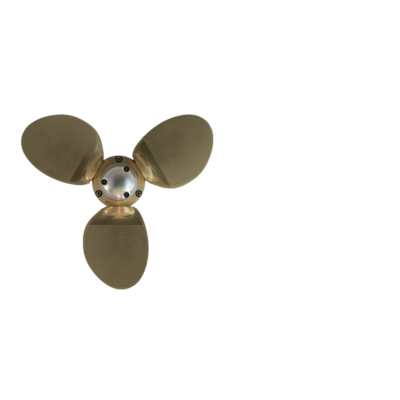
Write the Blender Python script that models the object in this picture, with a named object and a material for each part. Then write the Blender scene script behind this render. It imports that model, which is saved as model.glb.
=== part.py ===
"""Three-bladed feathering ship propeller, seen from aft when looked at from above.

+Z is the shaft axis and points aft. The origin is where that axis meets the forward
face of the shaft boss, which is also the face that the propeller stands on.
A blade is modelled lying along +X, with its chord along Y and its thickness along Z,
and is then tilted a little and turned to its place round the hub.
"""

import math

import bmesh
import bpy
import numpy as np
from mathutils import Matrix, Vector

MM = 0.001
RUNNING_GAP = 0.3 * MM  # between pieces that touch or turn on each other

# Hub
BLADE_ANGLES = [math.radians(-90 + 120 * k) for k in range(3)]
BLADE_PLANE_Z = 56 * MM  # height of the blade axes above the forward face
HUB_RADIUS = 53.5 * MM
SEAT_RADIUS = 38 * MM  # the flat on which the anode sits
SEAT_Z = BLADE_PLANE_Z + math.sqrt(HUB_RADIUS**2 - SEAT_RADIUS**2)
NOSE_START = 30 * MM  # where the ball runs into the forward nose, below the blade plane
NOSE_FULLNESS = 12 * MM  # how far the nose keeps the ball's slope
NOSE_RADIUS = 33 * MM  # outer radius of the hub's forward face
NOSE_CHAMFER = 1 * MM
NOSE_RELIEF = 1 * MM  # how far the boss stands out of the hub
CAVITY_RADIUS = 33 * MM
CAVITY_HALF_HEIGHT = 24 * MM
NUT_SPACE_RADIUS = 19 * MM  # the hole in the aft half that the shaft nut passes

# Shaft boss
BOSS_RADIUS = 23 * MM
BOSS_TOP = 20 * MM  # above the blade plane
BOSS_FLANGE_RADIUS = 30 * MM
BOSS_FLANGE_THICKNESS = 5 * MM
BORE_RADIUS_FORWARD = 15 * MM  # 30 mm shaft, taper 1 in 10 on the diameter
BORE_RADIUS_AFT = 12 * MM
BORE_TAPER_LENGTH = 60 * MM
BOSS_CHAMFER = 1 * MM
KEYWAY_WIDTH = 8 * MM
KEYWAY_DEPTH = 3.5 * MM

# Anode
ANODE_RADIUS = 37.7 * MM
ANODE_FOOT_Z = SEAT_Z + RUNNING_GAP
ANODE_BAND = 5 * MM  # upright stretch at the foot of the dome
ANODE_HEIGHT = 29 * MM
ANODE_RECESS = [(0, 14), (14.7, 14), (21, 7.7), (21, 0)]  # radius and height in millimetres

# Socket head screws, M6
SCREW_RADIUS = 3 * MM
SCREW_HOLE_RADIUS = 3.3 * MM
HEAD_RADIUS = 5 * MM
HEAD_HEIGHT = 6 * MM
HEAD_CHAMFER = 0.9 * MM
SOCKET_RADIUS = 5 * MM / math.sqrt(3)  # corner radius of a 5 mm hexagon
SOCKET_DEPTH = 3 * MM

ANODE_SCREW_CIRCLE = 29.6 * MM
ANODE_SCREW_ANGLES = [math.radians(60 + 120 * k) for k in range(3)]
ANODE_POCKET_RADIUS = 6.2 * MM
ANODE_POCKET_FLOOR_Z = ANODE_FOOT_Z + 3.5 * MM
ANODE_SCREW_TIP_Z = SEAT_Z - 9 * MM

HUB_BOLT_CIRCLE = 46.2 * MM
HUB_BOLT_ANGLES = [math.radians(90 + 120 * k) for k in range(3)]
HUB_POCKET_RADIUS = 7.3 * MM
HUB_POCKET_FLOOR_Z = BLADE_PLANE_Z + 9 * MM
HUB_BOLT_TIP_Z = BLADE_PLANE_Z - 13 * MM
HOLE_END = 1 * MM  # how far a screw's hole runs on past its tip

# Blades, in their own axes: reach along X, chord along Y, thickness along Z
TILT = math.radians(2.5)  # the leading side lies this much further aft
TIP_REACH = 216 * MM
PALM_SEAT = 47.5 * MM  # the flat on the hub under each blade
PALM_RADIUS = 24.8 * MM
JOURNAL_RADIUS = 19 * MM
FLANGE_RADIUS = 22.5 * MM
FLANGE_INNER, FLANGE_OUTER = 34.3 * MM, 41 * MM
FLANGE_CHAMFER = 1 * MM
ROOT_REACH = PALM_SEAT + RUNNING_GAP + 1 * MM  # the top of the palm's rim
CREASE_REACH = 86 * MM  # where the flat face ends and the root ramp begins
# (reach, chord) in millimetres, from the palm to the tip
TRAILING_EDGE = [
    (48.8, -24.8), (51.5, -30.7), (60, -42.1), (72, -55.3), (86, -65.2),
    (104, -71.0), (122, -72.3), (142, -70.4), (162, -63.6), (181, -51.4),
    (197, -36.4), (209, -19.3), (216, 5.8),
]
LEADING_EDGE = [
    (48.8, 24.8), (49.4, 29.4), (51.8, 34.6), (57, 39.9), (68, 46.8),
    (84, 53.2), (104, 58.2), (128, 60.9), (148, 60.3), (168, 56.5),
    (185, 50.2), (200, 40.6), (210.5, 27.3), (216, 5.8),
]
CREASE_THICKNESS = 13 * MM
THIN_REACH, THIN_THICKNESS = 206 * MM, 5 * MM
THIN_POWER = 1.6  # the face falls away faster towards the tip
RIM_SHARE = 0.14  # share of the face's rise over the edge that it starts with at the outline
EDGE_THICKNESS = 2 * MM
BEVEL_SLOPE = 0.29  # rise of the edge bevel over its width, on each face
BEVEL_BLEND = 0.2 * MM
RAMP_SLOPE = 0.09  # rise of the root ramp at the crease, on each face
RAMP_CURVE = 3.5  # its further rise, per metre
FLARE_SLOPE = 0.92  # fall of the root flare's height over its length
FLARE_SPREAD = 8 * MM  # how much wider than the palm the flare gets
FLARE_SPREAD_REACH = 4 * MM  # and how soon
FLARE_LENGTH = 18 * MM  # over which its round section turns pointed
FLARE_BLEND = 7 * MM
FLARE_BLEND_REACH = 6 * MM  # distance from the palm at which the blend is full

# Fineness
ROUND_STEPS = 48
SCREW_STEPS = 24
ARC_STEPS = 9
NOSE_STEPS = 6
FACE_POINTS = 15  # across each face of a blade
FACE_SECTIONS = 14  # from the crease to the tip
OUTLINE_STEPS = 160


def clear_scene():
    for obj in list(bpy.data.objects):
        bpy.data.objects.remove(obj, do_unlink=True)


def make_material(name, colour, roughness):
    """A bare metal of that colour."""
    material = bpy.data.materials.new(name)
    material.use_nodes = True
    shader = material.node_tree.nodes["Principled BSDF"]
    shader.inputs["Base Color"].default_value = (*colour, 1)
    shader.inputs["Roughness"].default_value = roughness
    shader.inputs["Metallic"].default_value = 1.0
    return material


def make_object(name, bm, material=None, parent=None):
    """The bmesh as a named object, shaded smooth except at sharp corners."""
    mesh = bpy.data.meshes.new(name)
    bm.to_mesh(mesh)
    bm.free()
    mesh.shade_smooth()
    mesh.set_sharp_from_angle(angle=math.radians(30))
    obj = bpy.data.objects.new(name, mesh)
    bpy.context.scene.collection.objects.link(obj)
    if material:
        mesh.materials.append(material)
    obj.parent = parent
    return obj


def make_cutter(name, bm):
    cutter = make_object(name, bm)
    cutter.hide_render = True
    cutter.display_type = "WIRE"
    return cutter


def turned(profile, steps=ROUND_STEPS):
    """A body turned about Z from (radius, height) points that start and end on the axis, or form a ring."""
    bm = bmesh.new()
    verts = [bm.verts.new((radius, 0, height)) for radius, height in profile]
    edges = [bm.edges.new(pair) for pair in zip(verts, verts[1:])]
    if profile[0][0] > 0:
        edges.append(bm.edges.new((verts[-1], verts[0])))
    bmesh.ops.spin(bm, geom=verts + edges, angle=math.tau, steps=steps, axis=(0, 0, 1), use_merge=True)
    bmesh.ops.remove_doubles(bm, verts=bm.verts, dist=0.001 * MM)
    bmesh.ops.recalc_face_normals(bm, faces=bm.faces)
    return bm


def merged(pieces):
    """Several bmeshes as one, each given with the matrix that places it."""
    whole = bmesh.new()
    for bm, matrix in pieces:
        bmesh.ops.transform(bm, matrix=matrix, verts=bm.verts)
        mesh = bpy.data.meshes.new("placed")
        bm.to_mesh(mesh)
        bm.free()
        whole.from_mesh(mesh)
        bpy.data.meshes.remove(mesh)
    return whole


def round_the_shaft(angle, radius=0.0, height=0.0):
    """Places a piece at that angle and radius, with its X axis pointing outwards."""
    return Matrix.Rotation(angle, 4, "Z") @ Matrix.Translation((radius, 0, height))


def block(low, high):
    """A box between two corners."""
    low, high = Vector(low), Vector(high)
    bm = bmesh.new()
    place = Matrix.Translation((low + high) / 2) @ Matrix.Diagonal(high - low).to_4x4()
    bmesh.ops.create_cube(bm, size=1, matrix=place)
    return bm


def ball_arc(low, high):
    """Points of the hub's ball from one height above the blade plane to another."""
    start, end = (math.asin(height / HUB_RADIUS) for height in (low, high))
    angles = np.linspace(start, end, ARC_STEPS + 1)
    return [(HUB_RADIUS * math.cos(a), BLADE_PLANE_Z + HUB_RADIUS * math.sin(a)) for a in angles]


def nose_curve():
    """The hub's forward end: it leaves the ball along its tangent and runs to the forward face."""
    radius = math.sqrt(HUB_RADIUS**2 - NOSE_START**2)
    start = Vector((radius, BLADE_PLANE_Z - NOSE_START))
    middle = start + Vector((-NOSE_START, -radius)).normalized() * NOSE_FULLNESS
    end = Vector((NOSE_RADIUS, NOSE_RELIEF + NOSE_CHAMFER))
    points = []
    for t in np.linspace(1, 0, NOSE_STEPS + 1)[:-1]:
        points.append(tuple(start * (1 - t) ** 2 + middle * 2 * t * (1 - t) + end * t**2))
    return points


def palm_seat_cutters():
    """Flat cuts under the blades, which leave a round seat on the ball."""
    half = HUB_RADIUS / 2 + MM
    pieces = []
    for angle in BLADE_ANGLES:
        cut = block((PALM_SEAT, -half, -half), (2 * PALM_SEAT, half, half))
        pieces.append((cut, round_the_shaft(angle, height=BLADE_PLANE_Z)))
    return merged(pieces)


def journal_cutters():
    """Stepped bores for the blades' journals, wider inside for the flanges that hold the blades."""
    inner, outer = BOSS_RADIUS + 2 * MM, 2 * PALM_SEAT
    wide, narrow = FLANGE_RADIUS + RUNNING_GAP, JOURNAL_RADIUS + RUNNING_GAP
    step = FLANGE_OUTER + RUNNING_GAP
    profile = [(0, inner), (wide, inner), (wide, step), (narrow, step), (narrow, outer), (0, outer)]
    along_x = Matrix.Rotation(math.pi / 2, 4, "Y")
    pieces = []
    for angle in BLADE_ANGLES:
        pieces.append((turned(profile), round_the_shaft(angle, height=BLADE_PLANE_Z) @ along_x))
    return merged(pieces)


def screw_cutters(angles, circle, tip, floor, pocket_radius, top):
    """Screw holes that open into round pockets for the heads."""
    profile = [
        (0, tip - HOLE_END), (SCREW_HOLE_RADIUS, tip - HOLE_END), (SCREW_HOLE_RADIUS, floor),
        (pocket_radius, floor), (pocket_radius, top), (0, top),
    ]
    return merged([(turned(profile, SCREW_STEPS), round_the_shaft(angle, circle)) for angle in angles])


def hub_bolt_cutters():
    top = BLADE_PLANE_Z + HUB_RADIUS
    return screw_cutters(
        HUB_BOLT_ANGLES, HUB_BOLT_CIRCLE, HUB_BOLT_TIP_Z, HUB_POCKET_FLOOR_Z, HUB_POCKET_RADIUS, top
    )


def anode_screw_cutters():
    top = ANODE_FOOT_Z + 2 * ANODE_HEIGHT
    return screw_cutters(
        ANODE_SCREW_ANGLES, ANODE_SCREW_CIRCLE, ANODE_SCREW_TIP_Z, ANODE_POCKET_FLOOR_Z,
        ANODE_POCKET_RADIUS, top,
    )


def cut_away(obj, cutters):
    """Cuts each named bmesh out of the object."""
    for name, bm in cutters.items():
        cutter = make_cutter(f"{obj.name}_{name}", bm)
        modifier = obj.modifiers.new(name, "BOOLEAN")
        modifier.operation = "DIFFERENCE"
        modifier.object = cutter
        modifier.solver = "EXACT"


def make_hub_aft_half(material, parent):
    parting = BLADE_PLANE_Z + RUNNING_GAP / 2
    roof = BLADE_PLANE_Z + CAVITY_HALF_HEIGHT
    profile = ball_arc(RUNNING_GAP / 2, SEAT_Z - BLADE_PLANE_Z)
    profile += [(NUT_SPACE_RADIUS, SEAT_Z), (NUT_SPACE_RADIUS, roof)]
    profile += [(CAVITY_RADIUS, roof), (CAVITY_RADIUS, parting)]
    half = make_object("hub_aft_half", turned(profile), material, parent)
    cut_away(half, {
        "palm_seats": palm_seat_cutters(),
        "journal_bores": journal_cutters(),
        "bolt_pockets": hub_bolt_cutters(),
        "anode_screw_holes": anode_screw_cutters(),
    })


def make_hub_forward_half(material, parent):
    parting = BLADE_PLANE_Z - RUNNING_GAP / 2
    floor = BLADE_PLANE_Z - CAVITY_HALF_HEIGHT
    bearing = BOSS_RADIUS + RUNNING_GAP
    profile = [(bearing, NOSE_RELIEF), (NOSE_RADIUS - NOSE_CHAMFER, NOSE_RELIEF)]
    profile += nose_curve()
    profile += ball_arc(-NOSE_START, -RUNNING_GAP / 2)
    profile += [(CAVITY_RADIUS, parting), (CAVITY_RADIUS, floor), (bearing, floor)]
    half = make_object("hub_forward_half", turned(profile), material, parent)
    cut_away(half, {
        "palm_seats": palm_seat_cutters(),
        "journal_bores": journal_cutters(),
        "bolt_holes": hub_bolt_cutters(),
    })


def make_shaft_boss(material, parent):
    """The keyed sleeve that the shaft pulls up into, with the flange that locates it in the hub."""
    top = BLADE_PLANE_Z + BOSS_TOP
    flange_low = BLADE_PLANE_Z - CAVITY_HALF_HEIGHT + RUNNING_GAP
    flange_high = flange_low + BOSS_FLANGE_THICKNESS
    profile = [
        (BORE_RADIUS_FORWARD + BOSS_CHAMFER, 0),
        (BOSS_RADIUS - BOSS_CHAMFER, 0),
        (BOSS_RADIUS, BOSS_CHAMFER),
        (BOSS_RADIUS, flange_low),
        (BOSS_FLANGE_RADIUS, flange_low),
        (BOSS_FLANGE_RADIUS, flange_high),
        (BOSS_RADIUS, flange_high),
        (BOSS_RADIUS, top - BOSS_CHAMFER),
        (BOSS_RADIUS - BOSS_CHAMFER, top),
        (BORE_RADIUS_AFT, top),
        (BORE_RADIUS_AFT, BORE_TAPER_LENGTH),
        (BORE_RADIUS_FORWARD, BOSS_CHAMFER),
    ]
    boss = make_object("shaft_boss", turned(profile), material, parent)
    half = KEYWAY_WIDTH / 2
    depth = BORE_RADIUS_FORWARD + KEYWAY_DEPTH
    slot = block((0, -half, -BORE_TAPER_LENGTH), (depth, half, BORE_TAPER_LENGTH))
    fall = math.atan((BORE_RADIUS_FORWARD - BORE_RADIUS_AFT) / BORE_TAPER_LENGTH)
    bmesh.ops.transform(slot, matrix=Matrix.Rotation(-fall, 4, "Y"), verts=slot.verts)
    cut_away(boss, {"keyway": slot})


def make_anode(material, parent):
    shoulder = ANODE_FOOT_Z + ANODE_BAND
    rise = ANODE_HEIGHT - ANODE_BAND
    profile = [(radius * MM, ANODE_FOOT_Z + height * MM) for radius, height in ANODE_RECESS]
    profile.append((ANODE_RADIUS, ANODE_FOOT_Z))
    for a in np.linspace(0, math.pi / 2, ARC_STEPS + 2)[:-1]:
        profile.append((ANODE_RADIUS * math.cos(a), shoulder + rise * math.sin(a)))
    profile.append((0, shoulder + rise))
    dome = make_object("anode_dome", turned(profile), material, parent)
    cut_away(dome, {"screw_pockets": anode_screw_cutters()})


def make_socket_screw(name, angle, circle, seat, tip, material, parent):
    """A socket head screw whose head rests on the height seat and whose shank ends at the height tip."""
    low = seat + RUNNING_GAP
    high = low + HEAD_HEIGHT
    profile = [
        (0, tip), (SCREW_RADIUS - HEAD_CHAMFER, tip), (SCREW_RADIUS, tip + HEAD_CHAMFER), (SCREW_RADIUS, low),
        (HEAD_RADIUS, low), (HEAD_RADIUS, high - HEAD_CHAMFER), (HEAD_RADIUS - HEAD_CHAMFER, high), (0, high),
    ]
    screw = make_object(name, turned(profile, SCREW_STEPS), material, parent)
    screw.matrix_world = round_the_shaft(angle, circle)
    socket = bmesh.new()
    place = round_the_shaft(angle, circle, high)
    bmesh.ops.create_cone(
        socket, cap_ends=True, segments=6, radius1=SOCKET_RADIUS, radius2=SOCKET_RADIUS,
        depth=2 * SOCKET_DEPTH, matrix=place,
    )
    cut_away(screw, {"socket": socket})


def through_points(points):
    """A smooth function of x through the points, a cubic with matched slopes at each."""
    x, y = (np.array(values, float) for values in zip(*points))
    slopes = np.gradient(y, x)

    def value(at):
        k = np.clip(np.searchsorted(x, at) - 1, 0, len(x) - 2)
        span = x[k + 1] - x[k]
        t = (at - x[k]) / span
        return (
            y[k] * (1 + 2 * t) * (1 - t) ** 2
            + y[k + 1] * t**2 * (3 - 2 * t)
            + span * (slopes[k] * t * (1 - t) ** 2 - slopes[k + 1] * t**2 * (1 - t))
        )

    return value


def towards_tip(reach):
    """Root of the distance from the tip: an edge that rounds the tip is smooth in it."""
    return np.sqrt(np.maximum(TIP_REACH - reach, 0))


def edge_line(points):
    """The chordwise place of one edge as a function of reach."""
    line = through_points(sorted((towards_tip(reach * MM), chord * MM) for reach, chord in points))
    return lambda reach: line(towards_tip(reach))


TRAILING, LEADING = edge_line(TRAILING_EDGE), edge_line(LEADING_EDGE)


def outline_points():
    """Points along both edges, from the palm over the tip and back."""
    steps = np.linspace(0, 1, OUTLINE_STEPS)
    reach = TIP_REACH - (TIP_REACH - ROOT_REACH) * (1 - steps) ** 2
    one = np.column_stack([reach, TRAILING(reach)])
    other = np.column_stack([reach, LEADING(reach)])
    return np.vstack([one, other[::-1]])


OUTLINE = outline_points()


def distance_to_edge(reach, chord):
    """Distance from each point to the outline, in the plane of the blade."""
    start, end = OUTLINE[:-1], OUTLINE[1:]
    along = end - start
    points = np.column_stack([reach, chord])[:, None, :]
    length = np.maximum((along**2).sum(1), 1e-18)
    t = np.clip(((points - start) * along).sum(2) / length, 0, 1)
    nearest = start + t[..., None] * along
    return np.sqrt(((points - nearest) ** 2).sum(2)).min(1)


def soft_max(a, b, width):
    """The larger of two heights, with a fillet of that width where they cross."""
    blend = np.maximum(width - np.abs(a - b), 0) / width
    return np.maximum(a, b) + blend**2 * width / 4


def half_thickness(reach, chord):
    """Half the blade's thickness at points of its plane."""
    crease, thin = CREASE_THICKNESS / 2, THIN_THICKNESS / 2
    outboard = np.maximum(reach - CREASE_REACH, 0) / (THIN_REACH - CREASE_REACH)
    face = crease + (thin - crease) * outboard**THIN_POWER
    inboard = np.maximum(CREASE_REACH - reach, 0)
    face = np.where(inboard > 0, crease + RAMP_SLOPE * inboard + RAMP_CURVE * inboard**2, face)
    middle = (LEADING(reach) + TRAILING(reach)) / 2
    half_chord = (LEADING(reach) - TRAILING(reach)) / 2
    across = ((chord - middle) / half_chord) ** 2
    face = EDGE_THICKNESS / 2 + (face - EDGE_THICKNESS / 2) * (1 - (1 - RIM_SHARE) * across)
    inset = distance_to_edge(reach, chord)
    rounded = np.sqrt(np.maximum(inset * (EDGE_THICKNESS - inset), 0))
    edge = np.where(inset < EDGE_THICKNESS / 2, rounded, EDGE_THICKNESS / 2)
    bevel = edge + BEVEL_SLOPE * inset
    plate = np.minimum(-soft_max(-face, -bevel, BEVEL_BLEND), bevel)
    outwards = np.maximum(reach - ROOT_REACH, 0)
    flare_height = np.maximum(PALM_RADIUS - FLARE_SLOPE * outwards, 0)
    spread = 1 - np.exp(-outwards / FLARE_SPREAD_REACH)
    aside = ((chord - middle) / (PALM_RADIUS + FLARE_SPREAD * spread)) ** 2
    power = 0.5 + 0.5 * np.minimum(outwards / FLARE_LENGTH, 1)
    flare = flare_height * np.maximum(1 - aside, 0) ** power
    blend = FLARE_BLEND * np.clip(outwards / FLARE_BLEND_REACH, 0.04, 1)
    return soft_max(flare, plate, blend)


def blade_reaches():
    """Where the blade's sections lie: close together at the palm, at the crease and towards the tip."""
    root = np.array([0.015, 0.045, 0.1, 0.2, 0.32, 0.45, 0.58, 0.72, 0.86])
    root = ROOT_REACH + (CREASE_REACH - ROOT_REACH) * root
    steps = 1 - np.linspace(0, 1, FACE_SECTIONS)[:-1]
    face = TIP_REACH - (TIP_REACH - CREASE_REACH) * steps**1.8
    return [*root, *face, TIP_REACH - 0.05 * MM]


def section(reach, angles):
    """One closed section of the blade, from the trailing edge over one face and back along the other."""
    trailing, leading = TRAILING(reach), LEADING(reach)
    chord = (trailing + leading) / 2 + (leading - trailing) / 2 * np.sin(angles)
    height = half_thickness(np.full_like(chord, reach), chord)
    return closed_ring(reach, chord, height)


def circle(reach, radius, angles):
    """A round section with as many points as the blade's, so that the loft runs on into it."""
    return closed_ring(reach, radius * np.sin(angles), radius * np.cos(angles))


def closed_ring(reach, chord, height):
    """The points of a section, out along its upper side and back along its lower one."""
    upper = [(reach, y, z) for y, z in zip(chord, height)]
    upper[0], upper[-1] = (reach, chord[0], 0), (reach, chord[-1], 0)
    lower = [(reach, y, -z) for reach, y, z in upper[-2:0:-1]]
    return upper + lower


def make_blade(name, angle, material):
    """Blade, palm, journal and flange: one casting, lofted outwards from the flange inside the hub."""
    angles = np.linspace(-math.pi / 2, math.pi / 2, FACE_POINTS)
    seat = PALM_SEAT + RUNNING_GAP
    spindle = [
        (FLANGE_INNER, FLANGE_RADIUS - FLANGE_CHAMFER),
        (FLANGE_INNER + FLANGE_CHAMFER, FLANGE_RADIUS),
        (FLANGE_OUTER, FLANGE_RADIUS),
        (FLANGE_OUTER, JOURNAL_RADIUS),
        (seat, JOURNAL_RADIUS),
        (seat, PALM_RADIUS),
        (ROOT_REACH, PALM_RADIUS),
    ]
    sections = [circle(reach, radius, angles) for reach, radius in spindle]
    sections += [section(reach, angles) for reach in blade_reaches()]
    bm = bmesh.new()
    rings = [[bm.verts.new(point) for point in points] for points in sections]
    for ring, following in zip(rings, rings[1:]):
        for k in range(len(ring)):
            bm.faces.new((ring[k - 1], ring[k], following[k], following[k - 1]))
    bm.faces.new(rings[0])
    bm.faces.new(rings[-1])
    bmesh.ops.recalc_face_normals(bm, faces=bm.faces)
    blade = make_object(name, bm, material)
    blade.location = (0, 0, BLADE_PLANE_Z)
    blade.rotation_euler = (TILT, 0, angle)


def make_propeller():
    clear_scene()
    hub = bpy.data.objects.new("hub", None)
    bpy.context.scene.collection.objects.link(hub)
    bronze = make_material("hub_bronze", (0.50, 0.38, 0.22), 0.35)
    satin_bronze = make_material("blade_bronze", (0.42, 0.34, 0.20), 0.45)
    alloy = make_material("anode_alloy", (0.62, 0.62, 0.63), 0.25)
    steel = make_material("screw_steel", (0.09, 0.09, 0.08), 0.4)
    make_hub_forward_half(bronze, hub)
    make_hub_aft_half(bronze, hub)
    make_shaft_boss(bronze, hub)
    make_anode(alloy, hub)
    for number, angle in enumerate(ANODE_SCREW_ANGLES, start=1):
        place = (angle, ANODE_SCREW_CIRCLE, ANODE_POCKET_FLOOR_Z, ANODE_SCREW_TIP_Z)
        make_socket_screw(f"anode_screw_{number}", *place, steel, hub)
    for number, angle in enumerate(HUB_BOLT_ANGLES, start=1):
        place = (angle, HUB_BOLT_CIRCLE, HUB_POCKET_FLOOR_Z, HUB_BOLT_TIP_Z)
        make_socket_screw(f"hub_bolt_{number}", *place, steel, hub)
    for number, angle in enumerate(BLADE_ANGLES, start=1):
        make_blade(f"blade_{number}", angle, satin_bronze)


make_propeller()
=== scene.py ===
import math

import bmesh
import bpy
import numpy as np
from mathutils import Matrix, Vector


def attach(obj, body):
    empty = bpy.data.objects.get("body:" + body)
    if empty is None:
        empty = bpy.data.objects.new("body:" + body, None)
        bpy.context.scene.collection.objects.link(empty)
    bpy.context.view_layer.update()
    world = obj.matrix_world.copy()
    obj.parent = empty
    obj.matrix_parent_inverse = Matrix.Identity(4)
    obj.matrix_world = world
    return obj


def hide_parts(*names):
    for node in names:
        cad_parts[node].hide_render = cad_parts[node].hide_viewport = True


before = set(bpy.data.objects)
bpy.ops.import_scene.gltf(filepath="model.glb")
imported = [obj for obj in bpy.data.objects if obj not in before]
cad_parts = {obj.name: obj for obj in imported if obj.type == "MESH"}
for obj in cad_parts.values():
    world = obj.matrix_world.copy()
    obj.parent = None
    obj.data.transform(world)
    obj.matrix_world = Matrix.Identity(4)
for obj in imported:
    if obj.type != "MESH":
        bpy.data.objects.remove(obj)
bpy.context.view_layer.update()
scene = bpy.context.scene
mm = 0.001
weld = 0.0005 * mm  # points closer than this are joined
slack = 0.02 * mm  # how far off a surface a point still counts as on it
print("frame loaded:", len(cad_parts), "nodes")


def thirds(first):
    return [math.radians(first + 120 * k) for k in range(3)]


hubBall = {
    "radius": 53.5 * mm,
    "bladePlane": 56 * mm,  # height of the blade axes
    "anodeSeat": 38 * mm,  # radius of the flat under the anode
    "palmSeat": 47.5 * mm,  # distance of the flats under the blades
    "gap": 0.3 * mm,  # between pieces that meet
    "bladeAngles": thirds(-90),
}
seatHeight = hubBall["bladePlane"] + math.sqrt(hubBall["radius"] ** 2 - hubBall["anodeSeat"] ** 2)


def roundShaft(angle, radius=0.0, height=0.0):
    return Matrix.Rotation(angle, 4, "Z") @ Matrix.Translation((radius, 0, height))


def spunShape(profile, steps):
    # profile is (radius, height) points; it starts and ends on the axis or is a ring
    bm = bmesh.new()
    verts = [bm.verts.new((radius, 0, height)) for radius, height in profile]
    edges = [bm.edges.new(pair) for pair in zip(verts, verts[1:])]
    if profile[0][0] > 0:
        edges.append(bm.edges.new((verts[-1], verts[0])))
    bmesh.ops.spin(
        bm, geom=verts + edges, angle=math.tau, steps=steps, axis=(0, 0, 1), use_merge=True
    )
    bmesh.ops.remove_doubles(bm, verts=bm.verts, dist=weld)
    bmesh.ops.recalc_face_normals(bm, faces=bm.faces)
    return bm


def placed(bm, matrix):
    bmesh.ops.transform(bm, matrix=matrix, verts=bm.verts)
    return bm


def meshObject(name, bm):
    mesh = bpy.data.meshes.new(name)
    bm.to_mesh(mesh)
    bm.free()
    obj = bpy.data.objects.new(name, mesh)
    scene.collection.objects.link(obj)
    return obj


def cutOut(bm, cutters):
    # the bmesh with every closed cutter taken out of it
    blank = meshObject("blank", bm)
    tools = [meshObject("cutter", cutter) for cutter in cutters]
    for tool in tools:
        cut = blank.modifiers.new("cut", "BOOLEAN")
        cut.operation = "DIFFERENCE"
        cut.solver = "EXACT"
        cut.object = tool
    made = bmesh.new()
    made.from_object(blank, bpy.context.evaluated_depsgraph_get())
    for used in [blank, *tools]:
        bpy.data.meshes.remove(used.data)
    return made


def edgeSharpness(bm, degrees):
    # smooth everywhere but at corners over so many degrees
    for face in bm.faces:
        face.smooth = True
    for edge in bm.edges:
        edge.smooth = edge.calc_face_angle(0) < math.radians(degrees)


def vertexPlaces(mesh):
    points = np.empty(len(mesh.vertices) * 3)
    mesh.vertices.foreach_get("co", points)
    return points.reshape(-1, 3)


def trueNormals(mesh, normalAt):
    # faces on a turned surface get that surface's own normals; normalAt gives nan off the surface
    leastMatch = 0.97  # cosine of a face against its surface
    wanted = normalAt(vertexPlaces(mesh))
    corners = np.array([corner.vector for corner in mesh.corner_normals])
    for polygon in mesh.polygons:
        own = wanted[list(polygon.vertices)]
        if np.isnan(own).any() or (own @ np.array(polygon.normal)).min() < leastMatch:
            continue
        corners[polygon.loop_start:polygon.loop_start + polygon.loop_total] = own
    mesh.normals_split_custom_set(corners.tolist())


def share(values, start, width):
    # 0 up to the start, rising to 1 over the width
    return np.clip((values - start) / width, 0, 1)


def awayFrom(points, circle, angle):
    # distance of each point from an upright line on the circle
    across, along = circle * math.cos(angle), circle * math.sin(angle)
    return np.hypot(points[:, 0] - across, points[:, 1] - along)


def addShare(mesh, name, amount):
    layer = mesh.attributes.new(name, "FLOAT", "POINT")
    layer.data.foreach_set("value", np.clip(amount, 0, 1).astype(np.float32))


def finishPiece(obj, body, node, finish):
    obj.data.materials.append(finish)
    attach(obj, body)
    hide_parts(node)
    print(obj.name, "has", sum(len(p.vertices) - 2 for p in obj.data.polygons), "triangles")


def addNode(tree, kind, inputs=(), **settings):
    made = tree.nodes.new(kind)
    for key, value in settings.items():
        setattr(made, key, value)
    for socket, value in dict(inputs).items():
        if isinstance(value, bpy.types.NodeSocket):
            tree.links.new(value, made.inputs[socket])
        else:
            made.inputs[socket].default_value = value
    return made


def mathNode(tree, operation, *values):
    inputs = dict(enumerate(values))
    return addNode(tree, "ShaderNodeMath", inputs, operation=operation).outputs[0]


def plusNode(tree, base, value, factor):
    # base + value * factor
    return mathNode(tree, "MULTIPLY_ADD", value, factor, base)


def rangeNode(tree, value, low, high, start=0.0, end=1.0):
    inputs = {"Value": value, "From Min": low, "From Max": high, "To Min": start, "To Max": end}
    made = addNode(tree, "ShaderNodeMapRange", inputs, interpolation_type="SMOOTHSTEP")
    return made.outputs["Result"]


def mixColours(tree, factor, first, second, blend="MIX"):
    inputs = {0: factor, 6: first, 7: second}
    made = addNode(tree, "ShaderNodeMix", inputs, data_type="RGBA", blend_type=blend)
    return made.outputs[2]


def noiseNode(tree, vector, noise):
    inputs = {"Vector": vector, **dict(zip(("Scale", "Detail", "Roughness"), noise))}
    return addNode(tree, "ShaderNodeTexNoise", inputs).outputs["Fac"]


def attributeNode(tree, name, output="Fac"):
    return addNode(tree, "ShaderNodeAttribute", attribute_name=name).outputs[output]


def objectPlace(tree):
    place = addNode(tree, "ShaderNodeTexCoord").outputs["Object"]
    return place, addNode(tree, "ShaderNodeSeparateXYZ", {0: place}).outputs


def newFinish(name, metallic):
    material = bpy.data.materials.new(name)
    material.use_nodes = True
    shader = material.node_tree.nodes["Principled BSDF"]
    shader.inputs["Metallic"].default_value = metallic
    return material, material.node_tree, shader


def setSurface(tree, shader, colour, roughness, relief, strength, depth):
    inputs = {"Strength": strength, "Distance": depth, "Height": relief}
    bump = addNode(tree, "ShaderNodeBump", inputs)
    tree.links.new(colour, shader.inputs["Base Color"])
    tree.links.new(roughness, shader.inputs["Roughness"])
    tree.links.new(bump.outputs["Normal"], shader.inputs["Normal"])


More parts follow.
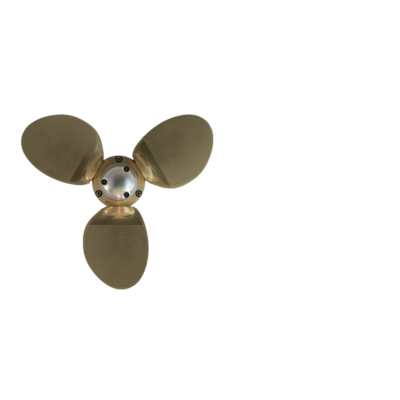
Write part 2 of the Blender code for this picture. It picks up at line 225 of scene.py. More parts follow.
blade = {
    "tilt": math.radians(2.5),  # the leading side lies this much further aft
    "palmRadius": 24.8 * mm,
    "rootReach": 48.8 * mm,
    "creaseReach": 86 * mm,
    "tipReach": 216 * mm,
    # the outline, as (reach, chord) in millimetres
    "trailing": [
        (48.8, -24.8), (51.5, -30.7), (60, -42.1), (72, -55.3), (86, -65.2), (104, -71.0),
        (122, -72.3), (142, -70.4), (162, -63.6), (181, -51.4), (197, -36.4), (209, -19.3),
        (216, 5.8),
    ],
    "leading": [
        (48.8, 24.8), (49.4, 29.4), (51.8, 34.6), (57, 39.9), (68, 46.8), (84, 53.2),
        (104, 58.2), (128, 60.9), (148, 60.3), (168, 56.5), (185, 50.2), (200, 40.6),
        (210.5, 27.3), (216, 5.8),
    ],
    # the palm's edge, then journal and flange inside the hub, as (reach, radius) in millimetres
    "spindle": [
        (48, 24.8), (47.8, 24.6), (47.8, 19), (41, 19), (41, 22.5), (35.3, 22.5), (34.3, 21.5),
    ],
    "creaseThickness": 13 * mm,
    "thinReach": 206 * mm,
    "thinThickness": 5 * mm,
    "thinPower": 1.6,
    "rimShare": 0.14,  # of the crown that is left at the edges
    "edgeThickness": 2 * mm,
    "bevelSlope": 0.29,
    "bevelBlend": 0.2 * mm,
    "rampSlope": 0.09,  # how the middle thickens from the crease to the palm
    "rampCurve": 3.5,
    "flareSlope": 0.92,
    "flareSpread": 8 * mm,  # how much wider than the palm the flare gets, and how soon
    "flareSpreadReach": 4 * mm,
    "flarePower": 0.5,  # a round section at the palm, rising to 1 over the flare's length
    "flareLength": 18 * mm,
    "flareBlend": 7 * mm,  # fillet between flare and blade, and how soon it is reached
    "flareBlendReach": 6 * mm,
    "flareBlendLeast": 0.04,
    "rootRows": 44,
    "faceRows": 88,
    "rootCrowding": 1.5,  # rows stand closer at the palm and at the tip
    "faceCrowding": 1.8,
    "columns": 104,
    "shy": 0.3 * mm,  # kept inside the solid's outline, from so far out
    "shyReach": 10 * mm,
    "sharpOver": 24,
    "blendedOut": 3,  # the blade whose crease fades towards the trailing side
    "fadeAside": (2 * mm, 20 * mm),  # where that starts, and over what width
    "fadeReach": (60 * mm, 12 * mm),
    "palmInset": 20 * mm,  # what palm and journal have instead of a distance from the outline
    "palmLine": 1 * mm,  # dark joint line round the palm, made stronger in the corners beside it by painted shade
    "palmLineDirtAndShade": (0.35, 0.6),
    "cornerAside": (15 * mm, 7 * mm),
}
bladeLook = {
    "satin": (0.66, 0.53, 0.315, 1),
    "satinDeep": (0.475, 0.365, 0.19, 1),
    "blotches": (0.34, 0.66),  # noise values of the two satin colours
    "blotchShares": (0.35, 0.65),  # of tarnish and mottle
    "paintedSheen": (0.74, 0.605, 0.36, 1),  # painted highlight: lighter towards the tip and the trailing edge
    "sheenReach": (110 * mm, 215 * mm, 0, 0.5),
    "sheenAside": (0, -62 * mm, 0, 0.7),
    "polished": (0.60, 0.455, 0.235, 1),
    "polishedShaded": (0.465, 0.352, 0.183, 1),  # painted shade: darker towards the crease
    "deepening": (64 * mm, 74 * mm),
    # the near-black that the dark joint and the painted shade turn to
    "residueAndShade": (0.035, 0.026, 0.015, 1),
    "creaseBlur": 0.1 * mm,
    "band": 4.6 * mm,  # the strip along the edges that keeps the satin finish
    "bandBlur": 0.4 * mm,
    "tarnish": (34.0, 3.0, 0.5),  # each noise: scale, detail, roughness
    "mottle": (330.0, 4.0, 0.6),
    "grain": (2600.0, 2.0, 0.6),
    "streaks": (1.0, 3.0, 0.7),
    "streakScale": (1500, 36, 36),
    "satinRoughness": (0.31, 0.10),  # at least, and what the noise adds
    "polishedRoughness": (0.20, 0.06),
    "residueRoughness": 0.35,
    "streakRelief": 0.8,
    "bump": (0.22, 0.02 * mm),
}


def bladeFinish():
    look = bladeLook
    material, tree, shader = newFinish("satinBlade", 1.0)
    place = attributeNode(tree, "bladePlace", "Vector")
    reach, chord, inset = addNode(tree, "ShaderNodeSeparateXYZ", {0: place}).outputs
    crease, blur = blade["creaseReach"], look["creaseBlur"]
    inboard = rangeNode(tree, reach, crease + blur, crease - blur)
    band, blur = look["band"], look["bandBlur"]
    offBand = rangeNode(tree, inset, band - blur, band + blur)
    fade = attributeNode(tree, "satinRun")
    polished = mathNode(tree, "MULTIPLY", inboard, mathNode(tree, "SUBTRACT", offBand, fade))
    polished = mathNode(tree, "MAXIMUM", polished, 0)

    tarnish = noiseNode(tree, place, look["tarnish"])
    mottle = noiseNode(tree, place, look["mottle"])
    tarnishShare, mottleShare = look["blotchShares"]
    blotch = plusNode(tree, mathNode(tree, "MULTIPLY", mottle, mottleShare), tarnish, tarnishShare)
    blotch = rangeNode(tree, blotch, *look["blotches"])
    satin = mixColours(tree, blotch, look["satin"], look["satinDeep"])
    # painted highlight: the satin colour turns lighter towards the tip and the trailing edge
    outwards = rangeNode(tree, reach, *look["sheenReach"])
    aside = rangeNode(tree, chord, *look["sheenAside"])
    satin = mixColours(tree, mathNode(tree, "ADD", outwards, aside), satin, look["paintedSheen"])
    # painted shade: the polished root darkens towards the crease
    deepening = rangeNode(tree, reach, *look["deepening"])
    bright = mixColours(tree, deepening, look["polished"], look["polishedShaded"])
    # dark joint line round the palm, with painted shade in the corners beside it
    grimeAndShade = attributeNode(tree, "grimeAndShade")
    colour = mixColours(tree, polished, satin, bright)
    colour = mixColours(tree, grimeAndShade, colour, look["residueAndShade"])

    stretched = addNode(tree, "ShaderNodeMapping", {"Vector": place, "Scale": look["streakScale"]})
    streaks = noiseNode(tree, stretched.outputs["Vector"], look["streaks"])
    grain = noiseNode(tree, place, look["grain"])
    least, added = look["satinRoughness"]
    satinRough = plusNode(tree, least, mottle, added)
    least, added = look["polishedRoughness"]
    polishedRough = plusNode(tree, least, streaks, added)
    inputs = {0: polished, 2: satinRough, 3: polishedRough}
    rough = addNode(tree, "ShaderNodeMix", inputs, data_type="FLOAT").outputs[0]
    rough = plusNode(tree, rough, grimeAndShade, look["residueRoughness"])
    relief = plusNode(tree, grain, streaks, look["streakRelief"])
    setSurface(tree, shader, colour, rough, relief, *look["bump"])
    return material


satinBlade = bladeFinish()


def edgeLine(points):
    # chordwise place of one edge against reach: a cubic with matched slopes, which runs in the
    # root of the distance from the tip
    knots = sorted((math.sqrt((blade["tipReach"] - r * mm)), c * mm) for r, c in points)
    x, y = np.array(knots).T
    slopes = np.gradient(y, x)

    def value(reach):
        at = np.sqrt(np.maximum(blade["tipReach"] - reach, 0))
        k = np.clip(np.searchsorted(x, at) - 1, 0, len(x) - 2)
        span = x[k + 1] - x[k]
        t = (at - x[k]) / span
        ends = y[k] * (1 + 2 * t) * (1 - t) ** 2 + y[k + 1] * t**2 * (3 - 2 * t)
        return ends + span * (slopes[k] * t * (1 - t) ** 2 - slopes[k + 1] * t**2 * (1 - t))

    return value


trailingEdge, leadingEdge = edgeLine(blade["trailing"]), edgeLine(blade["leading"])


def chordAt(reach):
    # middle and half width of the blade
    trailing, leading = trailingEdge(reach), leadingEdge(reach)
    return (trailing + leading) / 2, (leading - trailing) / 2


def bladeOutline(steps=260):
    span = blade["tipReach"] - blade["rootReach"]
    reach = blade["tipReach"] - span * (1 - np.linspace(0, 1, steps)) ** 2
    trailing = np.column_stack([reach, trailingEdge(reach)])
    return np.vstack([trailing, np.column_stack([reach, leadingEdge(reach)])[::-1]])


def insetOf(reach, chord, batch=3000):
    # distance from the outline in the blade's plane, worked out in batches
    outline = bladeOutline()
    start, run = outline[:-1], np.diff(outline, axis=0)
    length = np.maximum((run**2).sum(1), 1e-18)  # the tip's own piece has none
    found = []
    for block in np.array_split(np.column_stack([reach, chord]), max(1, len(reach) // batch)):
        offset = block[:, None, :] - start
        t = np.clip((offset * run).sum(2) / length, 0, 1)
        found.append(np.sqrt(((offset - t[..., None] * run) ** 2).sum(2)).min(1))
    return np.concatenate(found)


def softMax(a, b, width):
    blend = np.maximum(width - np.abs(a - b), 0) / width
    return np.maximum(a, b) + blend**2 * width / 4


def plateHeight(reach, chord, inset):
    # crowned section with bevelled and rounded edges, thicker inboard of the crease
    rim = blade["edgeThickness"] / 2
    crease, thin = blade["creaseThickness"] / 2, blade["thinThickness"] / 2
    outboard = np.maximum(reach - blade["creaseReach"], 0)
    outboard /= blade["thinReach"] - blade["creaseReach"]
    inboard = np.maximum(blade["creaseReach"] - reach, 0)
    middle, halfChord = chordAt(reach)
    across = ((chord - middle) / halfChord) ** 2
    face = crease + (thin - crease) * outboard ** blade["thinPower"]
    face = rim + (face - rim) * (1 - (1 - blade["rimShare"]) * across)
    ramp = blade["rampSlope"] * inboard + blade["rampCurve"] * inboard**2
    face += ramp * np.maximum(1 - across, 0) ** 2
    rounded = np.sqrt(np.maximum(inset * (2 * rim - inset), 0))
    bevel = np.where(inset < rim, rounded, rim) + blade["bevelSlope"] * inset
    return np.minimum(-softMax(-face, -bevel, blade["bevelBlend"]), bevel)


def flareHeight(reach, chord):
    # the root that runs out of the palm
    outwards = np.maximum(reach - blade["rootReach"], 0)
    height = np.maximum(blade["palmRadius"] - blade["flareSlope"] * outwards, 0)
    spread = 1 - np.exp(-outwards / blade["flareSpreadReach"])
    halfWidth = blade["palmRadius"] + blade["flareSpread"] * spread
    aside = ((chord - chordAt(reach)[0]) / halfWidth) ** 2
    fromRound = np.minimum(outwards / blade["flareLength"], 1)
    power = blade["flarePower"] + (1 - blade["flarePower"]) * fromRound
    return height * np.maximum(1 - aside, 0) ** power


def halfThickness(reach, chord):
    plate = plateHeight(reach, chord, insetOf(reach, chord))
    outwards = (reach - blade["rootReach"]) / blade["flareBlendReach"]
    blend = blade["flareBlend"] * np.clip(outwards, blade["flareBlendLeast"], 1)
    return softMax(flareHeight(reach, chord), plate, blend)


def bladeFace():
    # a grid drawn out over the blade's plan and raised to its aft face
    rows, columns = blade["rootRows"] + blade["faceRows"], blade["columns"]
    root = np.linspace(0, 1, blade["rootRows"] + 1)[:-1] ** blade["rootCrowding"]
    face = 1 - (1 - np.linspace(0, 1, blade["faceRows"] + 1)) ** blade["faceCrowding"]
    root = blade["rootReach"] + (blade["creaseReach"] - blade["rootReach"]) * root
    faceSpan = blade["tipReach"] - blade["shy"] - blade["creaseReach"]
    reaches = np.concatenate([root, blade["creaseReach"] + faceSpan * face])
    bm = bmesh.new()
    bmesh.ops.create_grid(bm, x_segments=rows, y_segments=columns, size=1)
    grid = np.array([vert.co for vert in bm.verts])
    row = np.rint((grid[:, 0] + 1) / 2 * rows).astype(int)
    reach = reaches[row]
    side = np.sin(grid[:, 1] * math.pi / 2)
    middle, halfChord = chordAt(reach)
    shy = blade["shy"] * share(reach, blade["rootReach"], blade["shyReach"])
    chord = middle + (halfChord - shy) * side
    height = halfThickness(reach, chord)
    height[np.isclose(np.abs(side), 1) | (row == rows)] = 0
    for vert, place in zip(bm.verts, np.column_stack([reach, chord, height])):
        vert.co = place
    return bm


def addSpindle(bm):
    # the open edge at the root is drawn inwards, ring by ring, and closed
    loop = [edge for edge in bm.edges if edge.is_boundary]
    for reach, radius in blade["spindle"]:
        made = bmesh.ops.extrude_edge_only(bm, edges=loop)["geom"]
        ring = {part for part in made if isinstance(part, bmesh.types.BMVert)}
        edges = [part for part in made if isinstance(part, bmesh.types.BMEdge)]
        loop = [edge for edge in edges if set(edge.verts) <= ring]
        for vert in ring:
            ratio = radius * mm / math.hypot(vert.co.y, vert.co.z)
            vert.co = (reach * mm, vert.co.y * ratio, vert.co.z * ratio)
    bmesh.ops.contextual_create(bm, geom=loop)


def bladeShape():
    bm = bladeFace()
    everything = bm.verts[:] + bm.edges[:] + bm.faces[:]
    bmesh.ops.mirror(bm, geom=everything, merge_dist=weld, axis="Z")
    bmesh.ops.remove_doubles(bm, verts=bm.verts, dist=weld)
    addSpindle(bm)
    bmesh.ops.recalc_face_normals(bm, faces=bm.faces)
    edgeSharpness(bm, blade["sharpOver"])
    for edge in bm.edges:
        if all(abs(vert.co.x - blade["creaseReach"]) < weld for vert in edge.verts):
            edge.smooth = False
    return bm


def bladePattern():
    # one blade along X with the places that its finish reads: reach, chord, inset
    mesh = meshObject("bladePattern", bladeShape()).data
    places = vertexPlaces(mesh)
    reach, chord = places[:, 0], places[:, 1]
    onBlade = reach > blade["rootReach"] - slack
    inset = np.where(onBlade, insetOf(reach, chord), blade["palmInset"])
    vectors = np.column_stack([reach, chord, inset]).astype(np.float32)
    layer = mesh.attributes.new("bladePlace", "FLOAT_VECTOR", "POINT")
    layer.data.foreach_set("vector", vectors.ravel())
    # a dark joint line round the palm, with painted shade added in the corners beside it
    line = blade["palmLine"]
    nearPalm = 1 - share(reach, blade["rootReach"] - line / 2, line)
    everywhere, inCorners = blade["palmLineDirtAndShade"]
    corner = share(np.abs(chord), *blade["cornerAside"])
    addShare(mesh, "grimeAndShade", nearPalm * (everywhere + inCorners * corner))
    return mesh


def makeBlades():
    pattern = bladePattern()
    for number, angle in enumerate(hubBall["bladeAngles"], start=1):
        mesh = pattern.copy()
        if number == blade["blendedOut"]:
            # satin finish inboard of the crease, where the crease is blended out by hand
            places = vertexPlaces(mesh)
            aside = share(-places[:, 1], *blade["fadeAside"])
            addShare(mesh, "satinRun", aside * share(places[:, 0], *blade["fadeReach"]))
        turn = Matrix.Rotation(angle, 4, "Z") @ Matrix.Rotation(blade["tilt"], 4, "X")
        mesh.transform(Matrix.Translation((0, 0, hubBall["bladePlane"])) @ turn)
        obj = bpy.data.objects.new(f"bronzeBlade{number}", mesh)
        scene.collection.objects.link(obj)
        node = f"blade_{number}"
        finishPiece(obj, node, node, satinBlade)
    bpy.data.meshes.remove(pattern)


makeBlades()


turnedLook = {
    "rings": (1700.0, 3.0, 0.65),  # each noise: scale, detail, roughness
    "broadRings": (240.0, 2.0, 0.5),
    "broadRelief": 1.6,
    "tarnish": (55.0, 4.0, 0.6),
    "clouds": (0.35, 0.7),
    # the near-black that dark joints and painted shade turn to
    "residueAndShade": (0.03, 0.024, 0.016, 1),
    "ringRoughness": 0.06,
    "cloudRoughness": 0.05,
    "residueRoughness": 0.4,
    "markDepth": 0.02 * mm,
}
bronzeLook = {
    "colour": (0.70, 0.55, 0.285, 1),
    "deepColour": (0.62, 0.46, 0.22, 1),
    "roughness": 0.15,
    "marks": 0.25,
}
anodeLook = {
    "colour": (0.80, 0.80, 0.80, 1),
    "deepColour": (0.72, 0.71, 0.70, 1),
    "roughness": 0.15,
    "marks": 0.3,
}


def turnedFinish(name, metal):
    # bare metal off the lathe: fine rings round the shaft axis and a little tarnish
    look = turnedLook
    material, tree, shader = newFinish(name, 1.0)
    place, parts = objectPlace(tree)
    flat = addNode(tree, "ShaderNodeVectorMath", {0: place, 1: (1, 1, 0)}, operation="MULTIPLY")
    radius = addNode(tree, "ShaderNodeVectorMath", {0: flat.outputs[0]}, operation="LENGTH")
    inputs = {"X": radius.outputs["Value"], "Y": parts["Z"]}
    rings = addNode(tree, "ShaderNodeCombineXYZ", inputs).outputs[0]
    fineRings = noiseNode(tree, rings, look["rings"])
    broadRings = noiseNode(tree, rings, look["broadRings"])
    cloud = rangeNode(tree, noiseNode(tree, place, look["tarnish"]), *look["clouds"])
    # dark joint lines, and painted shade down the screw pockets and inside the bore
    grimeAndShade = attributeNode(tree, "grimeAndShade")
    colour = mixColours(tree, cloud, metal["colour"], metal["deepColour"])
    colour = mixColours(tree, grimeAndShade, colour, look["residueAndShade"])
    rough = plusNode(tree, metal["roughness"], fineRings, look["ringRoughness"])
    rough = plusNode(tree, rough, cloud, look["cloudRoughness"])
    rough = plusNode(tree, rough, grimeAndShade, look["residueRoughness"])
    relief = plusNode(tree, fineRings, broadRings, look["broadRelief"])
    setSurface(tree, shader, colour, rough, relief, metal["marks"], look["markDepth"])
    return material


turnedBronze = turnedFinish("turnedBronze", bronzeLook)
brightAnode = turnedFinish("brightAnode", anodeLook)
print("finishes of blades, hub and anode made")


hubShell = {
    "steps": 192,
    "arcPoints": 44,
    "sharpOver": 12,
    "noseStart": 30 * mm,  # how far below the blade axes the ball runs out into a cone
    "noseFullness": 12 * mm,  # how long the cone keeps the ball's direction
    "noseRadius": 33 * mm,
    "noseChamfer": 1 * mm,
    "noseRelief": 1 * mm,
    "nosePoints": 20,
    "cavityRadius": 33 * mm,
    "cavityHalfHeight": 24 * mm,
    "nutSpace": 19 * mm,  # radius of the opening over the shaft nut
    "seamChamfer": 0.35 * mm,  # along the joint between the halves
    "bearing": 23.3 * mm,  # radius round the boss
    "journal": 19.3 * mm,  # radii round the blades' journals and flanges
    "flange": 22.8 * mm,
    "flangeInner": 25 * mm,
    "flangeOuter": 41.3 * mm,
    "journalSteps": 128,
    "palmLine": (0.6, 0.7 * mm),  # each dark line: strength, width
    "seamLine": (0.8, 1 * mm),
    "anodeLine": (0.5, 0.9 * mm),
    # painted shade down the bolt pockets, and how far below the surface it starts
    "pocketShade": 1.1,
    "pocketShadeBelow": 0.5 * mm,
    "dirtAndShadeShare": 0.9,  # of all these
}
hubBolt = {
    "circle": 46.2 * mm,
    "angles": thirds(90),
    "pocket": 7.3 * mm,
    "pocketChamfer": (0.35 * mm, 0.35 * mm),  # half its width and half its depth
    "floor": hubBall["bladePlane"] + 9 * mm,
    "tip": hubBall["bladePlane"] - 13 * mm,
    # painted shade on the head and in the socket
    "headShade": 0.05,
    "socketShade": 0.85,
}
domeScrew = {
    "circle": 29.6 * mm,
    "angles": thirds(60),
    "pocket": 6.2 * mm,
    "pocketChamfer": (1.7 * mm, 0.55 * mm),
    "floor": seatHeight + hubBall["gap"] + 3.5 * mm,
    "tip": seatHeight - 9 * mm,
    # painted shade on the head, near black deep in the anode's pocket, and in the socket
    "headShade": 0.88,
    "socketShade": 0.62,
}
pocketTool = {
    "hole": 3.3 * mm,
    "below": 1 * mm,  # the hole ends this far below the screw
    "above": 200 * mm,  # height at which the cutter is well clear of the hub
    "leastDepth": 0.1 * mm,
    "steps": 96,
}


def ballHeight(x, y):
    across = np.minimum(np.hypot(x, y), hubBall["radius"])
    return hubBall["bladePlane"] + np.sqrt(hubBall["radius"] ** 2 - across**2)


def ballArc(low, high, points):
    start, end = (math.asin(height / hubBall["radius"]) for height in (low, high))
    return [
        (hubBall["radius"] * math.cos(a), hubBall["bladePlane"] + hubBall["radius"] * math.sin(a))
        for a in np.linspace(start, end, points)
    ]


def noseCurve():
    # from the ball to the nose, tangent to the ball
    radius = math.sqrt(hubBall["radius"] ** 2 - hubShell["noseStart"] ** 2)
    start = Vector((radius, hubBall["bladePlane"] - hubShell["noseStart"]))
    slope = Vector((-hubShell["noseStart"], -radius)).normalized()
    middle = start + slope * hubShell["noseFullness"]
    end = Vector((hubShell["noseRadius"], hubShell["noseRelief"] + hubShell["noseChamfer"]))
    steps = np.linspace(1, 0, hubShell["nosePoints"] + 1)[:-1]
    return [tuple(start * (1 - t) ** 2 + middle * 2 * t * (1 - t) + end * t**2) for t in steps]


def pocketCutter(screw, angle, surface):
    # screw hole and head pocket, with a chamfer that follows the surface the pocket opens in
    half, flare = screw["pocketChamfer"]
    wide = screw["pocket"] + 2 * half
    hole, bottom = pocketTool["hole"], screw["tip"] - pocketTool["below"]
    profile = [(0, bottom), (hole, bottom), (hole, screw["floor"])]
    # the surface stands at 1 in the profile, and the top at 2
    profile += [(screw["pocket"], screw["floor"]), (screw["pocket"], 1 - flare)]
    profile += [(wide, 1 + flare), (wide, 2), (0, 2)]
    bm = placed(spunShape(profile, pocketTool["steps"]), roundShaft(angle, screw["circle"]))
    lowest = screw["floor"] + flare + pocketTool["leastDepth"]
    for vert in bm.verts:
        if 0.5 < vert.co.z < 1.5:
            vert.co.z += max(surface(vert.co.x, vert.co.y), lowest) - 1
        elif vert.co.z > 1.5:
            vert.co.z = pocketTool["above"]
    return bm


def journalCutter(angle):
    inner, outer, step = hubShell["flangeInner"], 2 * hubBall["palmSeat"], hubShell["flangeOuter"]
    wide, narrow = hubShell["flange"], hubShell["journal"]
    profile = [(0, inner), (wide, inner), (wide, step), (narrow, step), (narrow, outer), (0, outer)]
    alongX = Matrix.Rotation(math.pi / 2, 4, "Y")
    place = roundShaft(angle, height=hubBall["bladePlane"]) @ alongX
    return placed(spunShape(profile, hubShell["journalSteps"]), place)


def cutPalmSeats(bm):
    for angle in hubBall["bladeAngles"]:
        outwards = Vector((math.cos(angle), math.sin(angle), 0))
        everything = bm.verts[:] + bm.edges[:] + bm.faces[:]
        cut = bmesh.ops.bisect_plane(
            bm, geom=everything, plane_co=outwards * hubBall["palmSeat"], plane_no=outwards,
            clear_outer=True,
        )
        rim = [part for part in cut["geom_cut"] if isinstance(part, bmesh.types.BMEdge)]
        bmesh.ops.contextual_create(bm, geom=rim)
    bmesh.ops.recalc_face_normals(bm, faces=bm.faces)


def ballNormal(points):
    offset = points - np.array([0, 0, hubBall["bladePlane"]])
    distance = np.linalg.norm(offset, axis=1)
    normal = offset / distance[:, None]
    normal[np.abs(distance - hubBall["radius"]) > slack] = np.nan
    normal[offset[:, 2] < -hubShell["noseStart"]] = np.nan
    return normal


def darkLine(distance, line):
    strength, width = line
    return strength - distance / width


def hubGrimeAndShade(points):
    # dark lines at the palm seats, the anode's foot and the joint between the halves, and painted
    # shade down the bolt pockets
    height = points[:, 2]
    dirtAndShade = darkLine(np.abs(height - hubBall["bladePlane"]), hubShell["seamLine"])
    dirtAndShade = np.maximum(dirtAndShade, darkLine(seatHeight - height, hubShell["anodeLine"]))
    for angle in hubBall["bladeAngles"]:
        out = points[:, 0] * math.cos(angle) + points[:, 1] * math.sin(angle)
        dirtAndShade = np.maximum(dirtAndShade, darkLine(hubBall["palmSeat"] - out, hubShell["palmLine"]))
    surface = ballHeight(points[:, 0], points[:, 1])
    deep = (height < surface - hubShell["pocketShadeBelow"]) & (height > hubBolt["floor"] - slack)
    for angle in hubBolt["angles"]:
        away = awayFrom(points, hubBolt["circle"], angle)
        inPocket = away < hubBolt["pocket"] + slack
        dirtAndShade = np.where(inPocket & deep, hubShell["pocketShade"], dirtAndShade)
    return dirtAndShade * hubShell["dirtAndShadeShare"]


def hubHalf(name, node, profile, cutters):
    bm = spunShape(profile, hubShell["steps"])
    cutPalmSeats(bm)
    bm = cutOut(bm, cutters)
    edgeSharpness(bm, hubShell["sharpOver"])
    obj = meshObject(name, bm)
    addShare(obj.data, "grimeAndShade", hubGrimeAndShade(vertexPlaces(obj.data)))
    trueNormals(obj.data, ballNormal)
    finishPiece(obj, "hub", node, turnedBronze)


def makeHub():
    plane, half, edge = hubBall["bladePlane"], hubBall["gap"] / 2, hubShell["seamChamfer"]
    cavity, nut, bearing = hubShell["cavityRadius"], hubShell["nutSpace"], hubShell["bearing"]
    roof, sole = plane + hubShell["cavityHalfHeight"], plane - hubShell["cavityHalfHeight"]
    journals = [journalCutter(angle) for angle in hubBall["bladeAngles"]]
    bolts = [pocketCutter(hubBolt, angle, ballHeight) for angle in hubBolt["angles"]]
    holes = [pocketCutter(domeScrew, angle, domeHeight) for angle in domeScrew["angles"]]
    profile = [(hubBall["radius"] - edge, plane + half)]
    profile += ballArc(half + edge, seatHeight - plane, hubShell["arcPoints"])
    profile += [(nut, seatHeight), (nut, roof), (cavity, roof), (cavity, plane + half)]
    cutters = [bm.copy() for bm in journals + bolts + holes]
    hubHalf("hubAftShell", "hub_aft_half", profile, cutters)
    relief, nose = hubShell["noseRelief"], hubShell["noseRadius"] - hubShell["noseChamfer"]
    profile = [(bearing, relief), (nose, relief)] + noseCurve()
    profile += ballArc(-hubShell["noseStart"], -half - edge, hubShell["arcPoints"] // 2)
    profile += [(hubBall["radius"] - edge, plane - half), (cavity, plane - half)]
    profile += [(cavity, sole), (bearing, sole)]
    cutters = [bm.copy() for bm in journals + bolts]
    hubHalf("hubForwardShell", "hub_forward_half", profile, cutters)
    for spare in journals + bolts + holes:
        spare.free()


dome = {
    "radius": 37.7 * mm,
    "foot": seatHeight + hubBall["gap"],
    "band": 5 * mm,  # the straight part above the foot
    "height": 29 * mm,
    "footChamfer": 0.4 * mm,
    "recess": [(0, 14), (14.7, 14), (21, 7.7), (21, 0)],  # (radius, height) in millimetres
    "steps": 192,
    "arcPoints": 56,
    "sharpOver": 15,
    "offShape": 0.004,  # how far off the ellipse's equation a point still counts as on it
    "footLine": (0.5, 0.9 * mm),
    # painted shade down the screw pockets, and how far below the surface it starts
    "pocketShade": 0.96,
    "pocketShadeBelow": 1.3 * mm,
}
domeShoulder, domeRise = dome["foot"] + dome["band"], dome["height"] - dome["band"]


def domeHeight(x, y):
    outwards = np.minimum(np.hypot(x, y) / dome["radius"], 1)
    return domeShoulder + domeRise * np.sqrt(1 - outwards**2)


def domeNormal(points):
    outwards = (points[:, :2] ** 2).sum(1) / dome["radius"] ** 2
    up = points[:, 2] - domeShoulder
    normal = np.column_stack([points[:, :2] / dome["radius"] ** 2, up / domeRise**2])
    normal /= np.linalg.norm(normal, axis=1)[:, None]
    normal[np.abs(outwards + (up / domeRise) ** 2 - 1) > dome["offShape"]] = np.nan
    normal[up < 0] = np.nan
    return normal


def domeGrimeAndShade(points):
    # dark line at the anode's foot, and painted shade down the screw pockets
    dirtAndShade = darkLine(points[:, 2] - dome["foot"], dome["footLine"])
    surface = domeHeight(points[:, 0], points[:, 1])
    deep = points[:, 2] < surface - dome["pocketShadeBelow"]
    for angle in domeScrew["angles"]:
        away = awayFrom(points, domeScrew["circle"], angle)
        inPocket = away < domeScrew["pocket"] + slack
        dirtAndShade = np.where(inPocket & deep, dome["pocketShade"], dirtAndShade)
    return dirtAndShade


def makeDome():
    radius, foot, chamfer = dome["radius"], dome["foot"], dome["footChamfer"]
    profile = [(r * mm, foot + height * mm) for r, height in dome["recess"]]
    profile += [(radius - chamfer, foot), (radius, foot + chamfer)]
    for a in np.linspace(0, math.pi / 2, dome["arcPoints"] + 1)[:-1]:
        profile.append((radius * math.cos(a), domeShoulder + domeRise * math.sin(a)))
    profile.append((0, domeShoulder + domeRise))
    pockets = [pocketCutter(domeScrew, angle, domeHeight) for angle in domeScrew["angles"]]
    bm = cutOut(spunShape(profile, dome["steps"]), pockets)
    edgeSharpness(bm, dome["sharpOver"])
    obj = meshObject("anodeDome", bm)
    addShare(obj.data, "grimeAndShade", domeGrimeAndShade(vertexPlaces(obj.data)))
    trueNormals(obj.data, domeNormal)
    finishPiece(obj, "hub", "anode_dome", brightAnode)


makeHub()
makeDome()


socketScrew = {
    "steps": 64,
    "sharpOver": 20,
    "shank": 3 * mm,
    "head": 5 * mm,
    "headHeight": 6 * mm,
    "chamfer": 0.9 * mm,
    "underChamfer": 0.2 * mm,
    "socketCorner": 5 * mm / math.sqrt(3),
    "socketDepth": 3 * mm,
    "socketCone": 0.9 * mm,  # depth of the drill's point under the hexagon
    "drillShare": 0.86,  # of the hexagon's corner radius
    "drillSteps": 32,
    "sinkRim": 0.05 * mm,  # how far the countersink reaches past the corners
    "sinkRise": 0.45 * mm,  # how far its cutter stands above the head
    "sinkSteps": 48,
    # painted shade in the socket and on the shank starts at these depths
    "socketShadeBelow": 0.1 * mm,  # depths under the head's top
    "shankShadeBelow": 0.5 * mm,
    "shankShade": 0.9,
}
screwLook = {
    "metallic": 0.55,
    "pale": (0.62, 0.62, 0.53, 1),
    "deep": (0.38, 0.375, 0.31, 1),
    # the near-black of the painted shade
    "residueAndShade": (0.02, 0.016, 0.011, 1),
    "speckle": (900.0, 4.0, 0.65),  # scale, detail, roughness
    "speckles": (0.38, 0.68),  # noise values of the two colours
    "roughness": (0.2, 0.8, 0.32, 0.5),  # noise values, and the roughness at them
    "bump": (0.2, 0.03 * mm),
}


def screwFinish():
    # dark stainless steel, with painted shade in the socket, on the heads deep in the anode's
    # pockets and down the shank
    look = screwLook
    material, tree, shader = newFinish("darkScrewSteel", look["metallic"])
    speckle = noiseNode(tree, objectPlace(tree)[0], look["speckle"])
    deepening = rangeNode(tree, speckle, *look["speckles"])
    colour = mixColours(tree, deepening, look["pale"], look["deep"])
    colour = mixColours(tree, attributeNode(tree, "grimeAndShade"), colour, look["residueAndShade"])
    rough = rangeNode(tree, speckle, *look["roughness"])
    setSurface(tree, shader, colour, rough, speckle, *look["bump"])
    return material


darkScrewSteel = screwFinish()


def coneCutter(height, top, bottom, depth, segments):
    bm = bmesh.new()
    bmesh.ops.create_cone(
        bm, cap_ends=True, segments=segments, radius1=bottom, radius2=top, depth=depth,
        matrix=Matrix.Translation((0, 0, height)),
    )
    return bm


def screwShape(screw, angle):
    low = screw["floor"] + hubBall["gap"]
    high, chamfer = low + socketScrew["headHeight"], socketScrew["chamfer"]
    shank, head, under = socketScrew["shank"], socketScrew["head"], socketScrew["underChamfer"]
    depth, corner = socketScrew["socketDepth"], socketScrew["socketCorner"]
    sink = corner + socketScrew["sinkRim"] + socketScrew["sinkRise"]
    profile = [
        (0, screw["tip"]), (shank - chamfer, screw["tip"]), (shank, screw["tip"] + chamfer),
        (shank, low), (head - under, low), (head, low + under), (head, high - chamfer),
        (head - chamfer, high), (sink, high), (0, high),
    ]
    hexagon = coneCutter(high, corner, corner, 2 * depth, 6)
    wide = corner * socketScrew["drillShare"]
    cone, middle = socketScrew["socketCone"], high + socketScrew["sinkRise"] - sink / 2
    drill = coneCutter(high - depth, wide, 0, 2 * cone, socketScrew["drillSteps"])
    countersink = coneCutter(middle, sink, 0, sink, socketScrew["sinkSteps"])
    bm = cutOut(spunShape(profile, socketScrew["steps"]), [hexagon, drill, countersink])
    edgeSharpness(bm, socketScrew["sharpOver"])
    return placed(bm, roundShaft(angle, screw["circle"])), high


